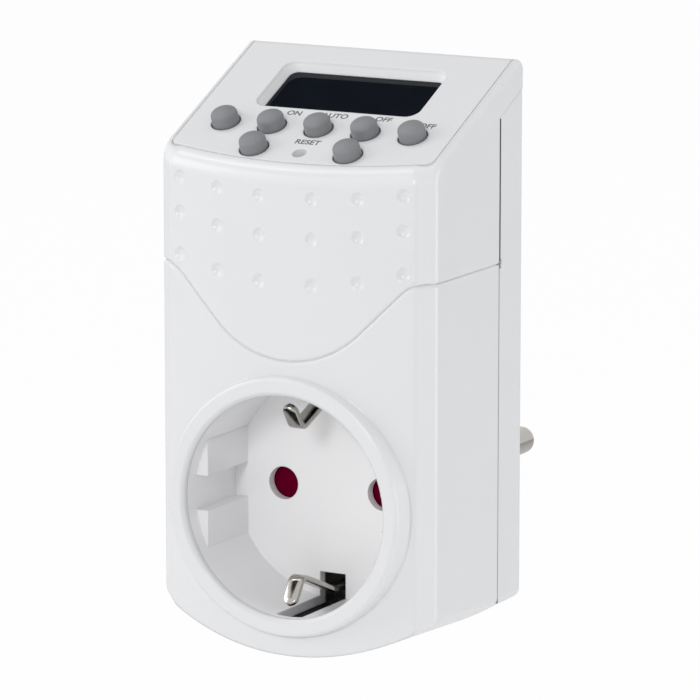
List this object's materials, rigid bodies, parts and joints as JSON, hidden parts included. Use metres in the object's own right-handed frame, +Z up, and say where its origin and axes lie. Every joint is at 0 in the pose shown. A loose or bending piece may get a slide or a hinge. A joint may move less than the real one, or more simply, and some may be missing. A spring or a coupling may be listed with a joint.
{
  "type": "plug in timer switch",
  "caption": "Plug-in electronic timer switch: earthed round-pin plug on the back, earthed socket recess in front, and a sloping panel with a display and domed keys.",
  "frame": {"origin": "where the shared axis of the plug and the socket crosses the rear face of the case", "axes": "+X right seen from the front, +Y out of the back towards the wall socket, +Z up"},
  "size_m": [0.0516, 0.0698, 0.0987],
  "materials": {
    "case_white": "satin injection-moulded white plastic",
    "rear_white": "satin injection-moulded white plastic",
    "fascia_white": "satin injection-moulded white plastic",
    "cup_white": "satin injection-moulded white plastic",
    "key_grey": "soft matt grey silicone",
    "reset_grey": "matt dark plastic",
    "lens_black": "polished dark smoked plastic",
    "display_glass": "liquid crystal glass with polarisers, blank",
    "frame_black": "matt black plastic",
    "zebra_rubber": "layered conductive rubber",
    "mat_grey": "soft silicone",
    "board_green": "glass-epoxy circuit board",
    "steel": "zinc-plated steel",
    "chip_black": "epoxy blob",
    "cell_steel": "nickel-plated cell can",
    "shutter_red": "dark red glossy plastic",
    "carrier_white": "heat-resistant plastic",
    "contact_brass": "tin-plated brass",
    "nickel": "nickel-plated brass",
    "relay_body": "relay housing",
    "film_yellow": "film capacitor housing",
    "can_black": "sleeved aluminium can",
    "varistor_blue": "epoxy coating",
    "fuse_body": "ceramic body",
    "ribbon_grey": "flat cable"
  },
  "bodies": {
    "case": {"rear_shell": "rear_white", "plug_base": "rear_white", "upper_front_cover": "case_white", "lower_front_cover": "case_white", "control_fascia": "fascia_white", "display_lens": "lens_black", "display_glass": "display_glass", "display_frame": "frame_black", "zebra_strip": "zebra_rubber", "keypad_mat": "mat_grey", "reset_switch": "frame_black", "control_board": "board_green", "board_screws": "steel", "control_chip": "chip_black", "backup_cell": "cell_steel", "socket_cup": "cup_white", "shutter_spring": "steel", "contact_carrier": "carrier_white", "carrier_screws": "steel", "live_contact": "contact_brass", "neutral_contact": "contact_brass", "live_contact_strip": "contact_brass", "live_pin_strip": "contact_brass", "neutral_strip": "contact_brass", "upper_earth_strip": "nickel", "lower_earth_strip": "nickel", "earth_link": "contact_brass", "live_plug_pin": "nickel", "neutral_plug_pin": "nickel", "power_board": "board_green", "relay": "relay_body", "suppression_capacitor": "film_yellow", "smoothing_capacitor": "can_black", "varistor": "varistor_blue", "fuse": "fuse_body", "rectifier_diodes": "chip_black", "ribbon_cable": "ribbon_grey", "case_screws": "steel"},
    "clock_button": {"clock_key": "key_grey"},
    "week_button": {"week_key": "key_grey"},
    "hour_button": {"hour_key": "key_grey"},
    "minute_button": {"minute_key": "key_grey"},
    "mode_button": {"mode_key": "key_grey"},
    "timer_button": {"timer_key": "key_grey"},
    "random_button": {"random_key": "key_grey"},
    "reset_button": {"reset_plunger": "reset_grey"},
    "shutter": {"child_shutter": "shutter_red"}
  },
  "joints": [
    {"name": "clock_press", "type": "slide", "parent": "case", "child": "clock_button", "axis": [0, 0.4384, -0.8988], "range_m": [0, 0.001], "stiffness_N_per_m": 300},
    {"name": "week_press", "type": "slide", "parent": "case", "child": "week_button", "axis": [0, 0.4384, -0.8988], "range_m": [0, 0.001], "stiffness_N_per_m": 300},
    {"name": "hour_press", "type": "slide", "parent": "case", "child": "hour_button", "axis": [0, 0.4384, -0.8988], "range_m": [0, 0.001], "stiffness_N_per_m": 300},
    {"name": "minute_press", "type": "slide", "parent": "case", "child": "minute_button", "axis": [0, 0.4384, -0.8988], "range_m": [0, 0.001], "stiffness_N_per_m": 300},
    {"name": "mode_press", "type": "slide", "parent": "case", "child": "mode_button", "axis": [0, 0.4384, -0.8988], "range_m": [0, 0.001], "stiffness_N_per_m": 300},
    {"name": "timer_press", "type": "slide", "parent": "case", "child": "timer_button", "axis": [0, 0.4384, -0.8988], "range_m": [0, 0.001], "stiffness_N_per_m": 300},
    {"name": "random_press", "type": "slide", "parent": "case", "child": "random_button", "axis": [0, 0.4384, -0.8988], "range_m": [0, 0.001], "stiffness_N_per_m": 300},
    {"name": "reset_press", "type": "slide", "parent": "case", "child": "reset_button", "axis": [0, 0.4384, -0.8988], "range_m": [0, 0.00025], "stiffness_N_per_m": 800},
    {"name": "shutter_turn", "type": "hinge", "parent": "case", "child": "shutter", "pos_m": [0, -0.0163, 0], "axis": [0, 1, 0], "range_deg": [0, 36], "stiffness_Nm_per_rad": 0.004}
  ]
}
